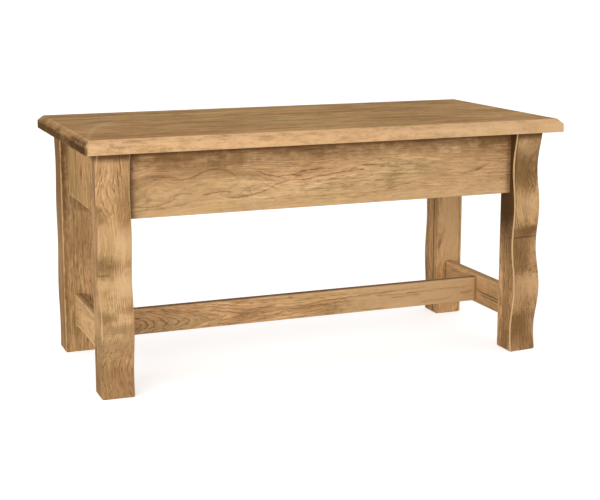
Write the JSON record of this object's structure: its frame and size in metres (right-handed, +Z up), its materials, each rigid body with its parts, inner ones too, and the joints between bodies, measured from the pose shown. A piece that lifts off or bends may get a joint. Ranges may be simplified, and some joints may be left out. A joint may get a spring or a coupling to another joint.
{
  "type": "bench",
  "caption": "Rustic wooden bench for the end of a bed, with a chamfered board top, posts sawn to a wave on their outer faces, deep aprons and an H of stretchers.",
  "frame": {"origin": "on the floor, under the middle of the top", "axes": "+X along the bench to the right as seen from the front, +Y from front to back, +Z up"},
  "size_m": [0.914, 0.432, 0.457],
  "materials": {
    "top_wood": "honey-brown stained hardwood, satin, bevels lighter than the face",
    "post_wood": "honey-brown stained hardwood, satin, mottled across the sawn wave",
    "apron_wood": "honey-brown stained hardwood, satin, swirling grain with fine dark streaks",
    "stretcher_wood": "honey-brown stained hardwood, satin",
    "inner_wood": "bare sawn hardwood, dry and unstained",
    "screw_steel": "zinc-plated steel, dull"
  },
  "bodies": {
    "root": {"top_board_front": "top_wood", "top_board_mid_front": "top_wood", "top_board_mid_back": "top_wood", "top_board_back": "top_wood", "post_front_left": "post_wood", "post_front_right": "post_wood", "post_back_left": "post_wood", "post_back_right": "post_wood", "apron_front": "apron_wood", "apron_back": "apron_wood", "apron_left": "apron_wood", "apron_right": "apron_wood", "stretcher_left": "stretcher_wood", "stretcher_right": "stretcher_wood", "stretcher_middle": "stretcher_wood", "corner_block_front_left": "inner_wood", "corner_block_front_right": "inner_wood", "corner_block_back_left": "inner_wood", "corner_block_back_right": "inner_wood", "top_buttons": "inner_wood", "top_screws": "screw_steel", "block_screws": "screw_steel"}
  },
  "joints": []
}
